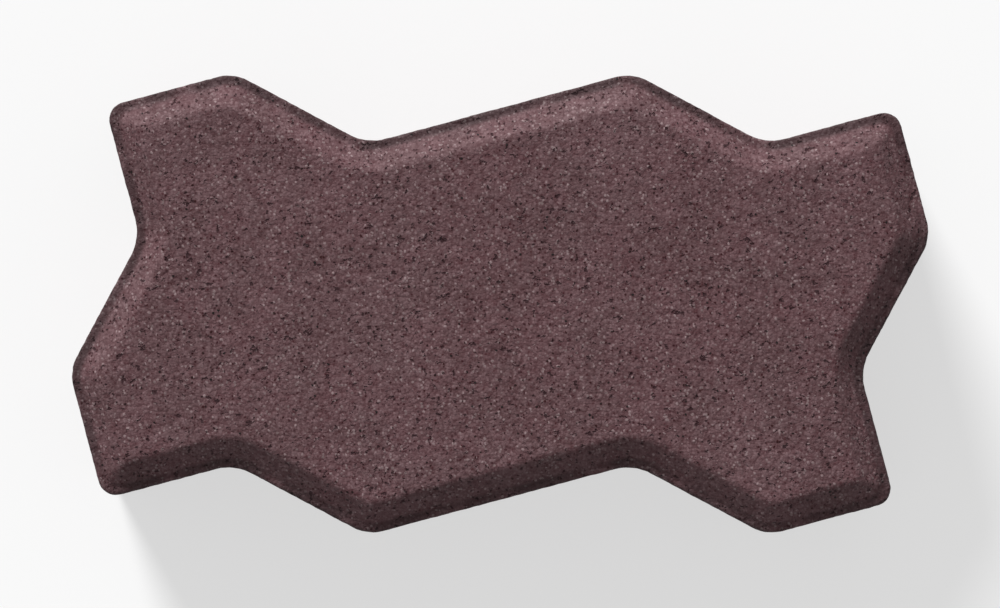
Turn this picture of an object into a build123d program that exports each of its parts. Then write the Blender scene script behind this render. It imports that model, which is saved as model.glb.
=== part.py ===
"""A concrete paving stone that interlocks with its neighbours, in millimetres.

The stone lies flat on its bed: +X along its length, +Y across it and +Z up. The origin is on
the bed, under the middle of the stone. All four sides follow one zigzag rule, so that each
side fits the side of the next stone, in rows that are shifted by half a stone.
"""

import os
from math import atan2, degrees

from build123d import *

# Laying module: the area that one stone takes up, out to the middle of the joints round it
module_length = 225.0
module_width = 112.5
joint_width = 2.0

# Zigzag of the sides, anticlockwise: a long gentle run inwards, then a short steep run outwards
waves_on_side = 2
waves_on_end = 1
wave_height = 20.0
steep_share = 1 / 3

# Body of the stone
thickness = 60.0
corner_radius = 5.0

# Pressed top: a narrow level rim, then a chamfer that rises to the face
rim_width = 2.0
chamfer_width = 6.5
chamfer_depth = 5.0
face_tip_radius = 2.0
face_edge_radius = 2.0

# Lines round the stone, by how far they lie in from the middle of the joint
edge_inset = joint_width / 2
foot_inset = edge_inset + rim_width
face_inset = foot_inset + chamfer_width

# Each bend is struck from one centre for all these lines, so the joint and the bands keep their width
bend_radius = face_tip_radius + face_inset


def zigzag_side(start, along, length, waves):
    """Points of one side, anticlockwise: its first corner, then each wave's notch and tip."""
    outward = along.rotate(Axis.Z, -90)
    wave_length = length / waves
    steep_run = wave_length * steep_share
    half_gentle_run = (wave_length - steep_run) / 2
    points = [start]
    for wave in range(waves):
        notch = start + along * (wave * wave_length + half_gentle_run) - outward * (wave_height / 2)
        tip = notch + along * steep_run + outward * wave_height
        points += [notch, tip]
    return points


def zigzag():
    """Points of the joint's middle line round the module, anticlockwise, and each point's kind."""
    points, kinds = [], []
    corner = Vector(-module_length / 2, -module_width / 2)
    along = Vector(1, 0)
    for length, waves in ((module_length, waves_on_side), (module_width, waves_on_end)) * 2:
        points += zigzag_side(corner, along, length, waves)
        kinds += ["corner"] + ["notch", "tip"] * waves
        corner += along * length
        along = along.rotate(Axis.Z, 90)
    return points, kinds


def moved_in(points, inset):
    """Points of a closed anticlockwise outline after each straight run has moved inwards."""
    moved = []
    for before, here, after in zip(points[-1:] + points[:-1], points, points[1:] + points[:1]):
        inward_before = (here - before).normalized().rotate(Axis.Z, 90)
        inward_after = (after - here).normalized().rotate(Axis.Z, 90)
        mitre = (inward_before + inward_after) * (1 / (1 + inward_before.dot(inward_after)))
        moved.append(here + mitre * inset)
    return moved


def outline(inset):
    """Face inside the line that lies an inset in from the middle of the joint."""
    points, kinds = zigzag()
    radii = {"corner": corner_radius, "tip": bend_radius - inset, "notch": bend_radius + inset}
    line = FilletPolyline(*moved_in(points, inset), radius=[radii[kind] for kind in kinds], close=True)
    return make_face(line)


def pressed_top():
    """Chamfered crown inside the rim: at the corners a cone runs out into a mitre below the face."""
    lean = degrees(atan2(chamfer_width, chamfer_depth))
    return extrude(outline(foot_inset), chamfer_depth, taper=lean)


def paving_stone():
    """The whole stone, cast and pressed in one piece."""
    rim_level = thickness - chamfer_depth
    body = extrude(outline(edge_inset), rim_level)
    stone = body + Pos(0, 0, rim_level) * pressed_top()
    face = stone.faces().sort_by(Axis.Z)[-1]
    return fillet(face.edges(), face_edge_radius)


os.makedirs("parts", exist_ok=True)
export_step(paving_stone(), "parts/paving_stone.step")
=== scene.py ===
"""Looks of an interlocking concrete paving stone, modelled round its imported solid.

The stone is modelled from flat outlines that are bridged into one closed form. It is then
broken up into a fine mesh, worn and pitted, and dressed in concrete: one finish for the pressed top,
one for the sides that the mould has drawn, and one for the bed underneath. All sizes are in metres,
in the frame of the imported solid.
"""

from __future__ import annotations

import logging
import math
from dataclasses import dataclass, field
from enum import Enum
from typing import Any, Callable, Mapping, Sequence, Union

import bpy
import numpy as np
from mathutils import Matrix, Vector


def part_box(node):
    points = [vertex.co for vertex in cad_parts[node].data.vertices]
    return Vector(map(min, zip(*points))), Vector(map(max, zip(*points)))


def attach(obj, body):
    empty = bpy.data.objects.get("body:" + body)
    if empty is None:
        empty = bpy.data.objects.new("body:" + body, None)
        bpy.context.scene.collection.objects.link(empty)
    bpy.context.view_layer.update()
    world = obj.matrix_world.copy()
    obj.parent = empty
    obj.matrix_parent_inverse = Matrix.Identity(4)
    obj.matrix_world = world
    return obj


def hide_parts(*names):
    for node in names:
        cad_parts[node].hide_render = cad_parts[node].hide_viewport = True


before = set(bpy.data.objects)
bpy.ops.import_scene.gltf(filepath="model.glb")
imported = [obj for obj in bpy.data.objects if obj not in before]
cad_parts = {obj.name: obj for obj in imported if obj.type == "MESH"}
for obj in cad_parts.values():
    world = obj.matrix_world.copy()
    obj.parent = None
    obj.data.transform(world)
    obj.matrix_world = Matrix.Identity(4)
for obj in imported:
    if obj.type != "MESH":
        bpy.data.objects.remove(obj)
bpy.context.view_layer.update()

LOG = logging.getLogger("paving_stone")
NODE = "paving_stone"
MM = 0.001

# Drag marks run down the sides, twenty times as long as they are wide
DRAG_STRETCH = (1, 1, 0.05)

Colour = tuple[float, float, float]
Span = tuple[float, float]
Operand = Union["Value", float]


class Zone(Enum):
    """Surfaces of the stone, by what formed them. The value is the surface's material slot."""

    PRESSED = 0
    DRAWN = 1
    BED = 2


class Mark(Enum):
    """Names of the attributes that the worn mesh carries for its finishes."""

    # A painted shade in pits and voids
    HOLLOW = "hollow"
    WEAR = "wear"
    # A painted shade along the rim and its arris, where a joint would be in shade
    GRIME = "grime"


@dataclass(frozen=True)
class Noise:
    """Soft noise: the width of its largest features, its finer layers and how strong those are."""

    size: float
    detail: float = 2.0
    roughness: float = 0.6


@dataclass(frozen=True)
class Holes:
    """Round holes of mixed sizes, at scattered places of which only a share has one.

    The smallest radius is a share of the widest, and the floor is a share of a hole's own radius.
    """

    spacing: float
    share: float
    widest: float
    smallest: float = 0.45
    floor: float = 0.35


@dataclass(frozen=True)
class Value:
    """A number that changes over a surface: an output socket that can be used in sums."""

    graph: Graph
    socket: bpy.types.NodeSocket

    def __add__(self, other: Operand) -> Value:
        """Sum of two numbers."""
        return self.graph.math("ADD", self, other)

    def __radd__(self, other: Operand) -> Value:
        """Sum of a plain number and this one."""
        return self.graph.math("ADD", other, self)

    def __sub__(self, other: Operand) -> Value:
        """Difference of two numbers."""
        return self.graph.math("SUBTRACT", self, other)

    def __rsub__(self, other: Operand) -> Value:
        """A plain number less this one."""
        return self.graph.math("SUBTRACT", other, self)

    def __mul__(self, other: Operand) -> Value:
        """Product of two numbers."""
        return self.graph.math("MULTIPLY", self, other)

    def __rmul__(self, other: Operand) -> Value:
        """Product of a plain number and this one."""
        return self.graph.math("MULTIPLY", other, self)

    def __abs__(self) -> Value:
        """This number without its sign."""
        return self.graph.math("ABSOLUTE", self)

    def __lt__(self, other: Operand) -> Value:
        """1 where this number is the smaller one, and 0 elsewhere."""
        return self.graph.math("LESS_THAN", self, other)

    def smooth(self, low: Operand, high: Operand) -> Value:
        """Rise smoothly from 0 to 1 between two limits.

        Args:
            low: The limit at which the result is 0. It may be the larger of the two.
            high: The limit at which the result is 1.

        Returns:
            The smoothed step.
        """
        settings = {"interpolation_type": "SMOOTHSTEP"}
        inputs = {"Value": self, "From Min": low, "From Max": high}
        return self.graph.value("ShaderNodeMapRange", settings, inputs)


class Graph:
    """A node tree under construction."""

    def __init__(self, tree: bpy.types.NodeTree) -> None:
        """Start with an empty tree."""
        tree.nodes.clear()
        self.tree = tree

    def node(
        self,
        kind: str,
        settings: Mapping[str, Any] | None = None,
        inputs: Mapping[Union[str, int], Any] | None = None,
    ) -> bpy.types.Node:
        """Add a node.

        Args:
            kind: The node's type.
            settings: Its own settings, which are set first.
            inputs: What goes into its sockets, by name or number: a Value, a socket or a constant.

        Returns:
            The new node.
        """
        node = self.tree.nodes.new(kind)
        for name, setting in (settings or {}).items():
            setattr(node, name, setting)
        for key, given in (inputs or {}).items():
            if isinstance(given, Value):
                given = given.socket
            if isinstance(given, bpy.types.NodeSocket):
                self.tree.links.new(given, node.inputs[key])
            else:
                node.inputs[key].default_value = given
        return node

    def value(
        self,
        kind: str,
        settings: Mapping[str, Any] | None = None,
        inputs: Mapping[Union[str, int], Any] | None = None,
        output: Union[str, int] = 0,
    ) -> Value:
        """Add a node and take one of its outputs as a number.

        Args:
            kind: The node's type.
            settings: Its own settings.
            inputs: What goes into its sockets.
            output: Which output is taken, by name or number.

        Returns:
            The output as a number.
        """
        return Value(self, self.node(kind, settings, inputs).outputs[output])

    def math(self, operation: str, *operands: Operand) -> Value:
        """Add a Math node for an operation on numbers."""
        return self.value("ShaderNodeMath", {"operation": operation}, dict(enumerate(operands)))

    def noise(self, place: bpy.types.NodeSocket, noise: Noise) -> Value:
        """Soft noise from about -1 to 1.

        Args:
            place: The coordinates that it is read at.
            noise: Its size and its finer layers.

        Returns:
            The noise.
        """
        inputs = {
            "Vector": place,
            "Scale": 1 / noise.size,
            "Detail": noise.detail,
            "Roughness": noise.roughness,
        }
        return self.value("ShaderNodeTexNoise", None, inputs) * 2 - 1

    def cells(self, place: bpy.types.NodeSocket, size: float) -> tuple[Value, Value, Value]:
        """Scattered cells, each with random numbers of its own.

        Args:
            place: The coordinates that they are read at.
            size: The mean width of a cell.

        Returns:
            The distance from the cell's middle, and two numbers from 0 to 1 that are the same all
            over a cell.
        """
        node = self.node("ShaderNodeTexVoronoi", None, {"Vector": place, "Scale": 1 / size})
        colour = self.node("ShaderNodeSeparateXYZ", None, {"Vector": node.outputs["Color"]})
        distance = Value(self, node.outputs["Distance"]) * size
        return distance, Value(self, colour.outputs["X"]), Value(self, colour.outputs["Y"])

    def holes(self, place: bpy.types.NodeSocket, holes: Holes) -> Value:
        """Round holes of mixed sizes.

        Args:
            place: The coordinates that they are read at.
            holes: Their spacing, number and sizes.

        Returns:
            1 on the floor of a hole, falling to 0 at its edge.
        """
        distance, chance, size = self.cells(place, holes.spacing)
        reach = holes.widest * (holes.smallest + (1 - holes.smallest) * size)
        return distance.smooth(reach, reach * holes.floor) * (chance < holes.share)

    def warped(self, place: bpy.types.NodeSocket, size: float, reach: float) -> bpy.types.NodeSocket:
        """Coordinates pushed about by noise, so that a pattern comes out crooked.

        Args:
            place: The coordinates to push.
            size: The width of the noise.
            reach: How far a place is pushed, from end to end.

        Returns:
            The new coordinates.
        """
        inputs = {"Vector": place, "Scale": 1 / size, "Detail": 1.0}
        noise = self.node("ShaderNodeTexNoise", None, inputs)
        push = {0: noise.outputs["Color"], 1: (reach, reach, reach), 2: place}
        return self.node("ShaderNodeVectorMath", {"operation": "MULTIPLY_ADD"}, push).outputs[0]

    def stretched(self, place: bpy.types.NodeSocket, factors: Sequence[float]) -> bpy.types.NodeSocket:
        """Coordinates multiplied axis by axis, so that a pattern comes out drawn along the small ones."""
        node = self.node("ShaderNodeVectorMath", {"operation": "MULTIPLY"}, {0: place, 1: factors})
        return node.outputs[0]

    def marked(self, mark: Mark) -> Value:
        """One of the marks that the worn mesh carries, from 0 to 1."""
        return self.value("ShaderNodeAttribute", {"attribute_name": mark.value}, None, "Fac")

    def scaled(self, vector: Any, factor: Operand) -> bpy.types.NodeSocket:
        """A colour or a vector, made longer or shorter by a number."""
        node = self.node("ShaderNodeVectorMath", {"operation": "SCALE"}, {0: vector, "Scale": factor})
        return node.outputs[0]

    def added(self, first: Any, second: Any) -> bpy.types.NodeSocket:
        """The sum of two colours or vectors."""
        node = self.node("ShaderNodeVectorMath", {"operation": "ADD"}, {0: first, 1: second})
        return node.outputs[0]

    def blended(self, factor: Operand, first: Any, second: Any) -> bpy.types.NodeSocket:
        """A colour between two others, the first at a factor of 0 and the second at 1."""
        node = self.node("ShaderNodeMix", {"data_type": "RGBA"}, {0: factor, 6: first, 7: second})
        return node.outputs[2]


@dataclass(frozen=True)
class ConcreteFinish:
    """Pigmented concrete, as one surface of the stone shows it.

    A grain's spans are in widths of its cell, from its middle outwards. All spans are the pair of
    limits between which something fades in.
    """

    name: str
    tone: Colour = (0.1170, 0.0608, 0.0666)
    thin_tone: Colour = (0.1165, 0.0653, 0.0703)
    speckle: Colour = (0.112, 0.0835, 0.0875)
    pale_grain: Colour = (0.240, 0.175, 0.178)
    dark_grain: Colour = (0.040, 0.0135, 0.0165)
    # Painted shade in the pores: their colour is blended towards this near-black tone
    pore_painted_shade: Colour = (0.022, 0.0070, 0.0090)

    broad_noise: Noise = Noise(40 * MM, 1, 0.5)
    cloud_noise: Noise = Noise(11 * MM)
    mottle: float = 0.24
    broad_share: float = 0.6
    tone_span: Span = (-0.25, 0.3)

    warp_size: float = 0.9 * MM
    warp_reach: float = 0.6 * MM
    sand_size: float = 1.5 * MM
    sand_height: float = 0.13 * MM
    sand_contrast: float = 0.40
    lowest_sand: float = 0.4
    fines_size: float = 0.75 * MM
    fines_height: float = 0.13 * MM
    fines_contrast: float = 0.92
    grit_noise: Noise = Noise(0.4 * MM, 2, 0.7)
    grit_height: float = 0.065 * MM

    spot_span: Span = (0.70, 0.25)
    # The seam span and seam_shade paint shade into the seams between grains
    seam_span: Span = (0.45, 0.85)
    seam_shade: float = 0.20
    grain_span: Span = (0.62, 0.38)
    pale_share: float = 0.095
    pale_strength: float = 0.7
    dark_share: float = 0.105
    dark_strength: float = 0.8

    pore_noise: Noise = Noise(1.7 * MM)
    pore_level: float = -0.222
    pore_slope: float = 0.2
    pore_depth: float = 0.35 * MM
    pore_shade_strength: float = 0.85
    drag_noise: Noise = Noise(1.4 * MM)
    drag_height: float = 0.0

    wear_shade: float = 0.12
    # How much the painted shade in pits and voids darkens the colour
    hollow_shade: float = 0.4
    # How much the painted shade on the rim and its arris darkens the colour
    painted_rim_shade_strength: float = 0.6
    roughness: float = 0.64
    pore_roughness: float = 0.2
    refraction: float = 1.45
    specular: float = 0.22

    def material(self) -> bpy.types.Material:
        """Make the finish.

        Returns:
            The material, which reads Object coordinates and the marks of the worn mesh.
        """
        material = bpy.data.materials.new(self.name)
        material.use_nodes = True
        graph = Graph(material.node_tree)
        place = graph.node("ShaderNodeTexCoord").outputs["Object"]
        hollow, wear, grime = (graph.marked(mark) for mark in Mark)

        crooked = graph.warped(place, self.warp_size, self.warp_reach)
        sand, sand_shade, sand_kind = graph.cells(crooked, self.sand_size)
        fines, fines_shade, fines_kind = graph.cells(crooked, self.fines_size)
        sand = sand * (1 / self.sand_size)
        fines = fines * (1 / self.fines_size)
        openness = graph.noise(place, self.pore_noise)
        pores = openness.smooth(self.pore_level, self.pore_level - self.pore_slope)
        broad = graph.noise(place, self.broad_noise)
        cloud = graph.noise(place, self.cloud_noise)

        shade = broad * (self.broad_share * self.mottle) + cloud * self.mottle + wear * self.wear_shade
        grains = ((sand, sand_shade, self.sand_contrast), (fines, fines_shade, self.fines_contrast))
        for distance, tint, contrast in grains:
            spot = (tint - 0.5) * distance.smooth(*self.spot_span) * contrast
            # Each grain adds a spot of its own tone, less a painted shade in the seams between grains
            shade = shade + spot - distance.smooth(*self.seam_span) * self.seam_shade
        grain = fines.smooth(*self.grain_span)
        pale = (fines_kind < self.pale_share) * grain * self.pale_strength
        dark = ((1 - fines_kind) < self.dark_share) * grain * self.dark_strength
        depth = cloud.smooth(*self.tone_span)
        colour = graph.blended(depth, self.thin_tone + (1,), self.tone + (1,))
        colour = graph.blended(pale, colour, self.pale_grain + (1,))
        colour = graph.blended(dark, colour, self.dark_grain + (1,))
        colour = graph.added(colour, graph.scaled(self.speckle, shade))
        # Painted shade in the pores
        colour = graph.blended(pores * self.pore_shade_strength, colour, self.pore_painted_shade + (1,))
        # Painted shade: the colour is darker in pits and voids, and along the rim and its arris
        colour = graph.scaled(colour, (1 - hollow * self.hollow_shade) * (1 - grime * self.painted_rim_shade_strength))

        height = (1 - sand * sand) * (self.lowest_sand + sand_kind) * self.sand_height
        height = height + (1 - fines * fines) * self.fines_height - pores * self.pore_depth
        height = height + graph.noise(place, self.grit_noise) * self.grit_height
        if self.drag_height:
            drag = graph.noise(graph.stretched(place, DRAG_STRETCH), self.drag_noise)
            height = height + drag * self.drag_height
        bump = graph.node("ShaderNodeBump", None, {"Strength": 1.0, "Distance": 1.0, "Height": height})
        inputs = {
            "Base Color": colour,
            "Roughness": self.roughness + pores * self.pore_roughness,
            "IOR": self.refraction,
            "Specular IOR Level": self.specular,
            "Normal": bump.outputs["Normal"],
        }
        shader = graph.node("ShaderNodeBsdfPrincipled", None, inputs)
        graph.node("ShaderNodeOutputMaterial", None, {"Surface": shader.outputs["BSDF"]})
        return material


RAW_TONE: Colour = (0.106, 0.0610, 0.0655)
RAW_THIN_TONE: Colour = (0.108, 0.0670, 0.0710)

FINISHES = {
    Zone.PRESSED: ConcreteFinish("pressed_concrete"),
    Zone.DRAWN: ConcreteFinish(
        "drawn_concrete",
        tone=RAW_TONE,
        thin_tone=RAW_THIN_TONE,
        mottle=0.30,
        sand_size=1.9 * MM,
        sand_height=0.3 * MM,
        pore_noise=Noise(2.4 * MM),
        pore_level=-0.22,
        pore_depth=0.6 * MM,
        drag_height=0.2 * MM,
        roughness=0.8,
    ),
    Zone.BED: ConcreteFinish(
        "bed_concrete",
        tone=RAW_TONE,
        thin_tone=RAW_THIN_TONE,
        mottle=0.30,
        sand_size=2.2 * MM,
        sand_height=0.35 * MM,
        pore_noise=Noise(2.6 * MM),
        pore_level=-0.2,
        pore_depth=0.7 * MM,
        roughness=0.85,
    ),
}


@dataclass
class Bench:
    """What the operators of the modelling bench need round one piece."""

    piece: bpy.types.Object

    @staticmethod
    def clear() -> None:
        """Leave edit mode and deselect everything."""
        if bpy.context.object and bpy.context.object.mode != "OBJECT":
            bpy.ops.object.mode_set(mode="OBJECT")
        bpy.ops.object.select_all(action="DESELECT")

    def hold(self) -> None:
        """Make the piece the only one that is selected."""
        self.clear()
        self.piece.select_set(True)
        bpy.context.view_layer.objects.active = self.piece

    def edit(self, element: str) -> None:
        """Go into edit mode with all of the piece selected.

        Args:
            element: What is selected there: VERT, EDGE or FACE.
        """
        bpy.ops.object.mode_set(mode="EDIT")
        bpy.ops.mesh.select_mode(type=element)
        bpy.ops.mesh.select_all(action="SELECT")

    def pick(self, test: Callable[[Vector], bool]) -> None:
        """Select only the points whose place passes a test, in edit mode.

        Args:
            test: Takes a point's place and says whether it is selected.
        """
        bpy.ops.mesh.select_mode(type="VERT")
        bpy.ops.mesh.select_all(action="DESELECT")
        bpy.ops.object.mode_set(mode="OBJECT")
        for point in self.piece.data.vertices:
            point.select = test(point.co)
        bpy.ops.object.mode_set(mode="EDIT")

    def finish(self, kind: str, **settings: Any) -> None:
        """Add a modifier to the piece and apply it.

        Args:
            kind: The modifier's type.
            **settings: The modifier's own settings.
        """
        self.hold()
        modifier = self.piece.modifiers.new(kind.lower(), kind)
        for name, setting in settings.items():
            setattr(modifier, name, setting)
        bpy.ops.object.modifier_apply(modifier=modifier.name)


@dataclass
class StoneForm:
    """The plain form of the stone: flat outlines, each with as many points, bridged into walls."""

    module_length: float = 225 * MM
    module_width: float = 112.5 * MM
    joint_width: float = 2 * MM
    wave_height: float = 20 * MM
    waves_on_side: int = 2
    waves_on_end: int = 1
    cells_per_wave: int = 3
    corner_radius: float = 5 * MM
    mitre_radius: float = 0.05 * MM
    rim_width: float = 2 * MM
    chamfer_width: float = 6.5 * MM
    chamfer_depth: float = 5 * MM
    face_tip_radius: float = 2 * MM
    face_edge_radius: float = 2 * MM
    bend_segments: int = 8
    edge_segments: int = 4
    straight_angle: float = math.radians(1)

    def __post_init__(self) -> None:
        """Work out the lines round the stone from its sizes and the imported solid."""
        low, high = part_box(NODE)
        self.bed_level = low.z
        self.face_level = high.z
        self.rim_level = self.face_level - self.chamfer_depth
        self.cell = self.module_width / self.cells_per_wave
        self.edge_inset = self.joint_width / 2
        self.foot_inset = self.edge_inset + self.rim_width
        self.face_inset = self.foot_inset + self.chamfer_width
        self.bend_radius = self.face_tip_radius + self.face_inset
        gentle_run = self.cell * (self.cells_per_wave - 1)
        steep_turn = math.atan2(self.wave_height, self.cell)
        self.bend_turn = steep_turn + math.atan2(self.wave_height, gentle_run)

    def is_corner(self, place: Vector) -> bool:
        """Say whether a point of an outline is nearest to a corner of the laying module."""
        corner = Vector((self.module_length / 2, self.module_width / 2))
        return (Vector((abs(place.x), abs(place.y))) - corner).length < self.cell / 2

    def push_waves(self, bench: Bench) -> None:
        """Push the points on the sides of a grid in and out, to a zigzag.

        Args:
            bench: The bench that holds the grid, in edit mode.
        """
        for quarter in range(4):
            turn = quarter * math.pi / 2
            along = Vector((round(math.cos(turn)), round(math.sin(turn)), 0))
            outward = Vector((along.y, -along.x, 0))
            sizes = (self.module_length / 2, self.module_width / 2)
            half_length, half_depth = sizes if quarter % 2 == 0 else sizes[::-1]
            for step, push in ((1, -self.wave_height / 2), (2, self.wave_height / 2)):

                def on_step(place: Vector) -> bool:
                    """Say whether a point lies on this side, on this step of a wave.

                    Args:
                        place: The point's place.

                    Returns:
                        Whether it is one of the points to push.
                    """
                    count = round((place.dot(along) + half_length) / self.cell)
                    on_side = abs(place.dot(outward) - half_depth) < self.cell / 2
                    return on_side and count % self.cells_per_wave == step

                bench.pick(on_step)
                bpy.ops.transform.translate(value=outward * push)

    def outline(self, level: float, inset: float, corner_radius: float) -> bpy.types.Object:
        """Model one flat outline of the stone.

        Args:
            level: Its height.
            inset: How far it lies in from the middle of the joint.
            corner_radius: The radius of its four corners.

        Returns:
            A flat piece with one face.
        """
        Bench.clear()
        columns = self.waves_on_side * self.cells_per_wave
        rows = self.waves_on_end * self.cells_per_wave
        bpy.ops.mesh.primitive_grid_add(x_subdivisions=columns, y_subdivisions=rows, size=1)
        bench = Bench(bpy.context.object)
        bench.edit("FACE")
        bpy.ops.transform.resize(value=(self.module_length, self.module_width, 1))
        self.push_waves(bench)
        bpy.ops.mesh.select_all(action="SELECT")
        bpy.ops.mesh.dissolve_faces()
        bpy.ops.mesh.dissolve_limited(angle_limit=self.straight_angle)

        bench.pick(lambda place: not self.is_corner(place))
        reach = self.bend_radius * math.tan(self.bend_turn / 2)
        bpy.ops.mesh.bevel(offset=reach, segments=self.bend_segments, affect="VERTICES")
        bench.edit("FACE")
        bpy.ops.mesh.inset(thickness=inset)
        bpy.ops.mesh.select_all(action="INVERT")
        bpy.ops.mesh.delete(type="FACE")
        bench.pick(self.is_corner)
        bpy.ops.mesh.bevel(offset=corner_radius, segments=self.bend_segments, affect="VERTICES")
        bpy.ops.mesh.select_all(action="SELECT")
        bpy.ops.transform.translate(value=(0, 0, level))
        Bench.clear()
        return bench.piece

    def eased_edge(self) -> list[bpy.types.Object]:
        """Model the lines that round the walking face's edge off, from the chamfer up.

        Returns:
            Flat pieces with one face each, the last of them at the face's own level.
        """
        slope = math.atan2(self.chamfer_depth, self.chamfer_width)
        reach = self.face_edge_radius * math.tan(slope / 2)
        lines = []
        for step in range(self.edge_segments + 1):
            lean = slope * (1 - step / self.edge_segments)
            level = self.face_level - self.face_edge_radius * (1 - math.cos(lean))
            inset = self.face_inset + reach - self.face_edge_radius * math.sin(lean)
            lines.append(self.outline(level, inset, self.mitre_radius))
        return lines

    def build(self) -> bpy.types.Object:
        """Model the whole form.

        Returns:
            A closed piece with flat walls.
        """
        loops = [
            self.outline(self.bed_level, self.edge_inset, self.corner_radius),
            self.outline(self.rim_level, self.edge_inset, self.corner_radius),
            self.outline(self.rim_level, self.foot_inset, self.corner_radius),
            *self.eased_edge(),
        ]
        per_loop = len(loops[0].data.vertices)
        bench = Bench(loops[0])
        bench.hold()
        for loop in loops[1:]:
            loop.select_set(True)
        bpy.ops.object.join()
        mesh = bench.piece.data
        bench.edit("FACE")
        bench.pick(lambda place: self.bed_level < place.z < self.face_level)
        bpy.ops.mesh.select_mode(type="FACE")
        bpy.ops.mesh.delete(type="ONLY_FACE")
        for lower in range(len(loops) - 1):
            bpy.ops.mesh.select_mode(type="VERT")
            bpy.ops.mesh.select_all(action="DESELECT")
            bpy.ops.object.mode_set(mode="OBJECT")
            for point in mesh.vertices[lower * per_loop : (lower + 2) * per_loop]:
                point.select = True
            bpy.ops.object.mode_set(mode="EDIT")
            bpy.ops.mesh.select_mode(type="EDGE")
            bpy.ops.mesh.bridge_edge_loops()
        bpy.ops.mesh.select_all(action="SELECT")
        bpy.ops.mesh.normals_make_consistent(inside=False)
        Bench.clear()
        return bench.piece


@dataclass
class Relief:
    """Unevenness, drag marks, holes and worn edges as heights off the plain form, and a painted shade
    along its rim.

    All spans are the pair of limits between which something fades in. Tilts are the upward part of
    a normal, and the levels of arris and rim are counted from the rim.
    """

    rim_level: float
    upright_tilts: Span = (0.65, 0.25)
    under_tilts: Span = (-0.5, -0.8)
    warp_size: float = 2.2 * MM
    warp_reach: float = 2.0 * MM
    blur_passes: int = 6

    broad_noise: Noise = Noise(55 * MM, 1, 0.5)
    broad_height: float = 0.10 * MM
    cloud_noise: Noise = Noise(9 * MM, 2, 0.5)
    cloud_height: float = 0.07 * MM
    coarse_noise: Noise = Noise(2.6 * MM)
    coarse_height: float = 0.07 * MM
    drag_noise: Noise = Noise(2.2 * MM)
    drag_height: float = 0.16 * MM
    bed_height: float = 0.25 * MM

    wear_span: Span = (0.03 * MM, 0.22 * MM)
    wear_depth: float = 0.50 * MM
    chip_noise: Noise = Noise(3.0 * MM, 3, 0.65)
    chip_span: Span = (-0.15, 0.5)
    chip_share: float = 0.85

    pit_holes: Holes = Holes(7 * MM, 0.30, 1.0 * MM)
    pit_depth: float = 0.55 * MM
    gap_noise: Noise = Noise(5.5 * MM, 2, 0.55)
    gap_stretch: tuple[float, float, float] = (1, 1, 0.7)
    side_void_span: Span = (0.16, 0.42)
    side_void_levels: Span = (56 * MM, 30 * MM)
    side_void_depth: float = 1.3 * MM
    bed_void_span: Span = (0.12, 0.45)
    bed_void_depth: float = 1.1 * MM

    # Where the painted shade lies on the arris and the rim, and how strong and patchy it is
    arris_upper_levels: Span = (0.9 * MM, 0.2 * MM)
    arris_lower_levels: Span = (-2.5 * MM, -0.8 * MM)
    arris_span: Span = (0.01 * MM, 0.12 * MM)
    rim_levels: Span = (1.1 * MM, 0.1 * MM)
    rim_tilts: Span = (0.45, 0.95)
    flat_rim_painted_shade: float = 0.9
    painted_rim_shade_noise: Noise = Noise(12 * MM, 2, 0.5)
    painted_rim_shade_span: Span = (-0.6, 0.2)

    def tree(self) -> bpy.types.NodeTree:
        """Make the node tree that moves the points of a fine mesh and leaves its marks on them.

        Returns:
            The tree, for a Geometry Nodes modifier.
        """
        tree = bpy.data.node_groups.new("stone_relief", "GeometryNodeTree")
        graph = Graph(tree)
        for direction in ("INPUT", "OUTPUT"):
            tree.interface.new_socket(name="Geometry", in_out=direction, socket_type="NodeSocketGeometry")
        source = graph.node("NodeGroupInput").outputs[0]
        place = graph.node("GeometryNodeInputPosition").outputs[0]
        normal = graph.node("GeometryNodeInputNormal").outputs[0]
        tilt = graph.value("ShaderNodeSeparateXYZ", None, {0: normal}, "Z")
        level = graph.value("ShaderNodeSeparateXYZ", None, {0: place}, "Z")
        upright = abs(tilt).smooth(*self.upright_tilts)
        under = tilt.smooth(*self.under_tilts)
        crooked = graph.warped(place, self.warp_size, self.warp_reach)

        edge = self.proudness(graph, place, normal)
        wear = edge.smooth(*self.wear_span)
        chips = graph.noise(place, self.chip_noise).smooth(*self.chip_span)
        chipped = chips * self.chip_share + (1 - self.chip_share)
        pits = graph.holes(crooked, self.pit_holes)
        gaps = graph.noise(graph.stretched(crooked, self.gap_stretch), self.gap_noise)
        side_voids = gaps.smooth(*self.side_void_span) * level.smooth(*self.side_void_levels) * upright
        bed_voids = gaps.smooth(*self.bed_void_span) * under
        drag = graph.noise(graph.stretched(place, DRAG_STRETCH), self.drag_noise)
        coarse = graph.noise(place, self.coarse_noise)

        height = graph.noise(place, self.broad_noise) * self.broad_height
        height = height + graph.noise(place, self.cloud_noise) * self.cloud_height
        height = height + coarse * self.coarse_height + drag * upright * self.drag_height
        height = height - under * (coarse * 0.5 + 0.5) * self.bed_height
        height = height - wear * chipped * self.wear_depth - pits * self.pit_depth
        height = height - side_voids * self.side_void_depth - bed_voids * self.bed_void_depth

        marks = {
            # Pits and voids, where a painted shade darkens the colour
            Mark.HOLLOW: pits + side_voids + bed_voids,
            Mark.WEAR: wear,
            # A painted shade on the rim and its arris, patchy by noise
            Mark.GRIME: self.painted_rim_shade_amount(graph, level - self.rim_level, tilt, edge)
            * graph.noise(place, self.painted_rim_shade_noise).smooth(*self.painted_rim_shade_span),
        }
        for mark, amount in marks.items():
            inputs = {"Geometry": source, "Name": mark.value, "Value": amount}
            source = graph.node("GeometryNodeStoreNamedAttribute", None, inputs).outputs[0]
        offset = graph.scaled(normal, height)
        moved = graph.node("GeometryNodeSetPosition", None, {"Geometry": source, "Offset": offset})
        graph.node("NodeGroupOutput", None, {0: moved.outputs[0]})
        return tree

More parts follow.
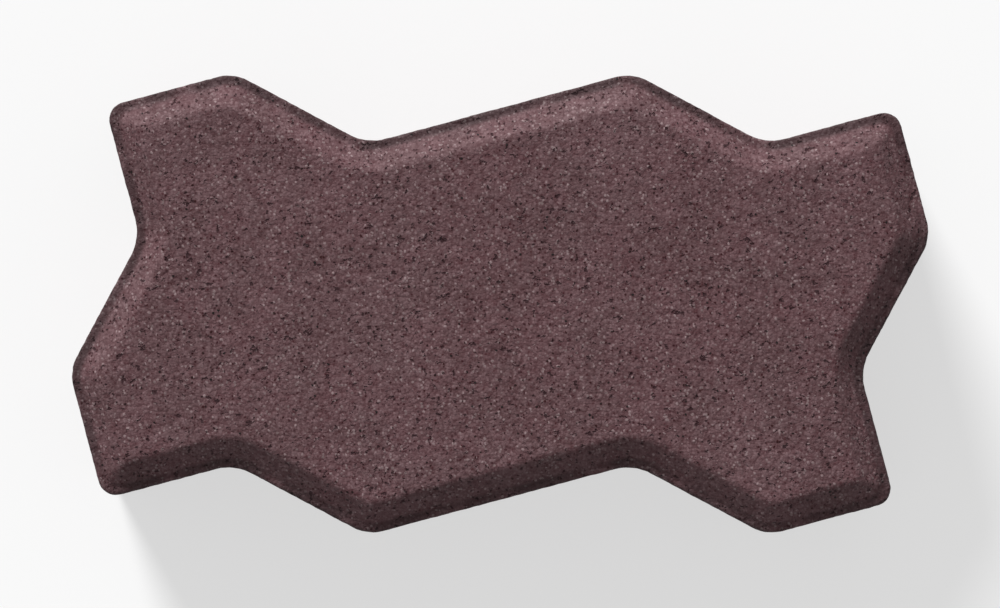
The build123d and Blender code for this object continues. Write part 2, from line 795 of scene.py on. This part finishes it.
    def painted_rim_shade_amount(self, graph: Graph, above: Value, tilt: Value, edge: Value) -> Value:
        """How much painted shade lies on the rim and its arris: a dark line where a joint would be in
        shade.

        Args:
            graph: The tree that it is worked out in.
            above: The points' heights above the rim.
            tilt: The upward part of the points' normals.
            edge: How far the points stand out from their neighbours.

        Returns:
            The painted shade, from 0 to 1.
        """
        arris = above.smooth(*self.arris_upper_levels) * above.smooth(*self.arris_lower_levels)
        arris = arris * edge.smooth(*self.arris_span)
        rim = above.smooth(*self.rim_levels) * tilt.smooth(*self.rim_tilts) * self.flat_rim_painted_shade
        return graph.math("MAXIMUM", arris, rim)

    def proudness(
        self, graph: Graph, place: bpy.types.NodeSocket, normal: bpy.types.NodeSocket
    ) -> Value:
        """How far a point stands out from the mean of its neighbours, which is most on edges.

        Args:
            graph: The tree that it is worked out in.
            place: The points' places.
            normal: The points' normals.

        Returns:
            The distance, which is below 0 in a hollow.
        """
        inputs = {"Value": place, "Iterations": self.blur_passes}
        blurred = graph.node("GeometryNodeBlurAttribute", {"data_type": "FLOAT_VECTOR"}, inputs).outputs[0]
        inputs = {0: place, 1: blurred}
        apart = graph.node("ShaderNodeVectorMath", {"operation": "SUBTRACT"}, inputs).outputs[0]
        inputs = {0: apart, 1: normal}
        return graph.value("ShaderNodeVectorMath", {"operation": "DOT_PRODUCT"}, inputs, "Value")


TRIANGLES = {Zone.BED: 24_000, Zone.DRAWN: 62_000, Zone.PRESSED: 95_000}


@dataclass
class PavingStone:
    """The whole stone: its form, broken up into a fine mesh, worn and dressed."""

    form: StoneForm = field(default_factory=StoneForm)
    fine_step: float = 0.5 * MM
    easing: float = 0.5
    easing_passes: int = 4
    lip_width: float = 0.6 * MM
    bed_tilt: float = -0.5
    budgets: Mapping[Zone, int] = field(default_factory=lambda: dict(TRIANGLES))

    def refine(self, bench: Bench) -> None:
        """Break the form up into a fine even mesh, with its edges a little eased."""
        bench.finish("REMESH", mode="VOXEL", voxel_size=self.fine_step)
        bench.finish("SMOOTH", factor=self.easing, iterations=self.easing_passes)

    def zones(self, mesh: bpy.types.Mesh) -> np.ndarray:
        """Say which surface of the stone each face belongs to.

        Args:
            mesh: The fine mesh.

        Returns:
            The value of each face's Zone.
        """
        middles = np.empty(len(mesh.polygons) * 3, dtype=np.float32)
        normals = np.empty_like(middles)
        mesh.polygons.foreach_get("center", middles)
        mesh.polygons.foreach_get("normal", normals)
        levels, tilts = middles[2::3], normals[2::3]
        zones = np.full(len(levels), Zone.DRAWN.value, dtype=np.int32)
        zones[levels > self.form.rim_level - self.lip_width] = Zone.PRESSED.value
        zones[(tilts < self.bed_tilt) & (levels < self.form.rim_level / 2)] = Zone.BED.value
        return zones

    def thin(self, bench: Bench) -> None:
        """Merge triangles down to the budget of each surface, first where it is flattest.

        Args:
            bench: The bench that holds the worn mesh.
        """
        mesh = bench.piece.data
        for zone, budget in self.budgets.items():
            bench.hold()
            chosen = self.zones(mesh) == zone.value
            corners = np.empty(len(chosen), dtype=np.int32)
            mesh.polygons.foreach_get("loop_total", corners)
            count = int((corners[chosen] - 2).sum())
            bench.edit("FACE")
            bpy.ops.mesh.select_all(action="DESELECT")
            bpy.ops.object.mode_set(mode="OBJECT")
            mesh.polygons.foreach_set("select", chosen)
            bpy.ops.object.mode_set(mode="EDIT")
            bpy.ops.mesh.decimate(ratio=min(1.0, budget / count))
            Bench.clear()
            LOG.info("%s: %d triangles thinned to %d", zone.name.lower(), count, budget)
        bench.hold()
        bpy.ops.object.shade_smooth()

    def dress(self, bench: Bench) -> None:
        """Give each surface its finish.

        Args:
            bench: The bench that holds the thinned mesh.
        """
        mesh = bench.piece.data
        mesh.materials.clear()
        for zone in Zone:
            mesh.materials.append(FINISHES[zone].material())
        mesh.polygons.foreach_set("material_index", self.zones(mesh))

    def build(self) -> bpy.types.Object:
        """Model, wear and dress the stone, and set it in the frame.

        Returns:
            The finished piece, in place of the plain solid.
        """
        bench = Bench(self.form.build())
        bench.piece.name = "concrete_stone"
        self.refine(bench)
        bench.finish("NODES", node_group=Relief(self.form.rim_level).tree())
        self.thin(bench)
        self.dress(bench)
        Bench.clear()
        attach(bench.piece, "root")
        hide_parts(NODE)
        return bench.piece


@dataclass
class Studio:
    """A pale floor, soft light from the upper left and a camera straight above."""

    floor_radius: float = 4.0
    floor_sides: int = 96
    floor_level: float = -0.1 * MM
    floor_tone: Colour = (0.88, 0.88, 0.88)
    floor_glow: float = 0.6
    zenith: float = 0.36
    horizon: float = 0.15
    key_azimuth: float = 112.0
    key_elevation: float = 28.0
    key_share: float = 0.71
    key_softness: float = 16.0
    lens: float = 200.0
    sensor: float = 36.0
    farthest_view: float = 50.0
    picture_share: float = 0.86

    @staticmethod
    def seen(graph: Graph) -> Value:
        """Tell what the camera sees, straight or through gloss or glass, from what only lights.

        Args:
            graph: The tree that it is worked out in.

        Returns:
            1 for what is seen, and 0 for what only lights.
        """
        path = graph.node("ShaderNodeLightPath")
        kinds = ("Camera", "Glossy", "Transmission")
        rays = [Value(graph, path.outputs[f"Is {kind} Ray"]) for kind in kinds]
        return graph.math("MINIMUM", rays[0] + rays[1] + rays[2], 1.0)

    def floor(self) -> bpy.types.Object:
        """Lay the floor.

        Returns:
            The floor, which shows nearly white and keeps a pale shadow.
        """
        Bench.clear()
        bpy.ops.mesh.primitive_circle_add(
            vertices=self.floor_sides,
            radius=self.floor_radius,
            fill_type="NGON",
            location=(0, 0, self.floor_level),
        )
        floor = bpy.context.object
        floor.name = "studio_floor"
        material = bpy.data.materials.new("floor_paint")
        material.use_nodes = True
        graph = Graph(material.node_tree)
        paint = graph.node("ShaderNodeBsdfDiffuse", None, {"Color": self.floor_tone + (1,)})
        glow = graph.node("ShaderNodeEmission", None, {"Color": (1, 1, 1, 1), "Strength": 1.0})
        inputs = {0: self.seen(graph) * self.floor_glow, 1: paint.outputs[0], 2: glow.outputs[0]}
        mixed = graph.node("ShaderNodeMixShader", None, inputs)
        graph.node("ShaderNodeOutputMaterial", None, {"Surface": mixed.outputs[0]})
        floor.data.materials.append(material)
        return floor

    def light(self) -> None:
        """Hang the key light and fill the room."""
        world = bpy.data.worlds.new("studio")
        bpy.context.scene.world = world
        world.use_nodes = True
        graph = Graph(world.node_tree)
        direction = graph.node("ShaderNodeTexCoord").outputs["Generated"]
        height = graph.value("ShaderNodeSeparateXYZ", None, {0: direction}, "Z")
        sky_light = self.horizon + graph.math("MAXIMUM", height, 0.0) * (self.zenith - self.horizon)
        strength = sky_light + self.seen(graph) * (1 - sky_light)
        sky = graph.node("ShaderNodeBackground", None, {"Color": (1, 1, 1, 1), "Strength": strength})
        graph.node("ShaderNodeOutputWorld", None, {"Surface": sky.outputs[0]})

        elevation = math.radians(self.key_elevation)
        azimuth = math.radians(self.key_azimuth)
        Bench.clear()
        bpy.ops.object.light_add(
            type="SUN", rotation=(math.pi / 2 - elevation, 0, azimuth + math.pi / 2)
        )
        key = bpy.context.object
        key.name = "key_light"
        key.data.energy = math.pi * self.key_share / math.sin(elevation)
        key.data.angle = math.radians(self.key_softness)

    def camera(self) -> bpy.types.Object:
        """Set the camera straight above the stone.

        Returns:
            The scene's camera.
        """
        low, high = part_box(NODE)
        width = (high.x - low.x) / self.picture_share
        level = high.z + width * self.lens / self.sensor
        Bench.clear()
        bpy.ops.object.camera_add(location=(0, 0, level), rotation=(0, 0, 0))
        camera = bpy.context.object
        camera.name = "camera"
        camera.data.lens = self.lens
        camera.data.sensor_width = self.sensor
        camera.data.clip_end = self.farthest_view
        bpy.context.scene.camera = camera
        return camera


def main() -> None:
    """Build the stone and the studio, and report each piece."""
    logging.basicConfig(level=logging.INFO, format="%(name)s: %(message)s")
    bpy.context.scene.view_settings.view_transform = "Standard"
    stone = PavingStone().build()
    stone.data.calc_loop_triangles()
    LOG.info("%s: %d triangles", stone.name, len(stone.data.loop_triangles))
    studio = Studio()
    floor = studio.floor()
    LOG.info("%s: radius %.1f m", floor.name, studio.floor_radius)
    studio.light()
    camera = studio.camera()
    LOG.info("%s: %.2f m above the floor", camera.name, camera.location.z)


if __name__ == "__main__":
    main()
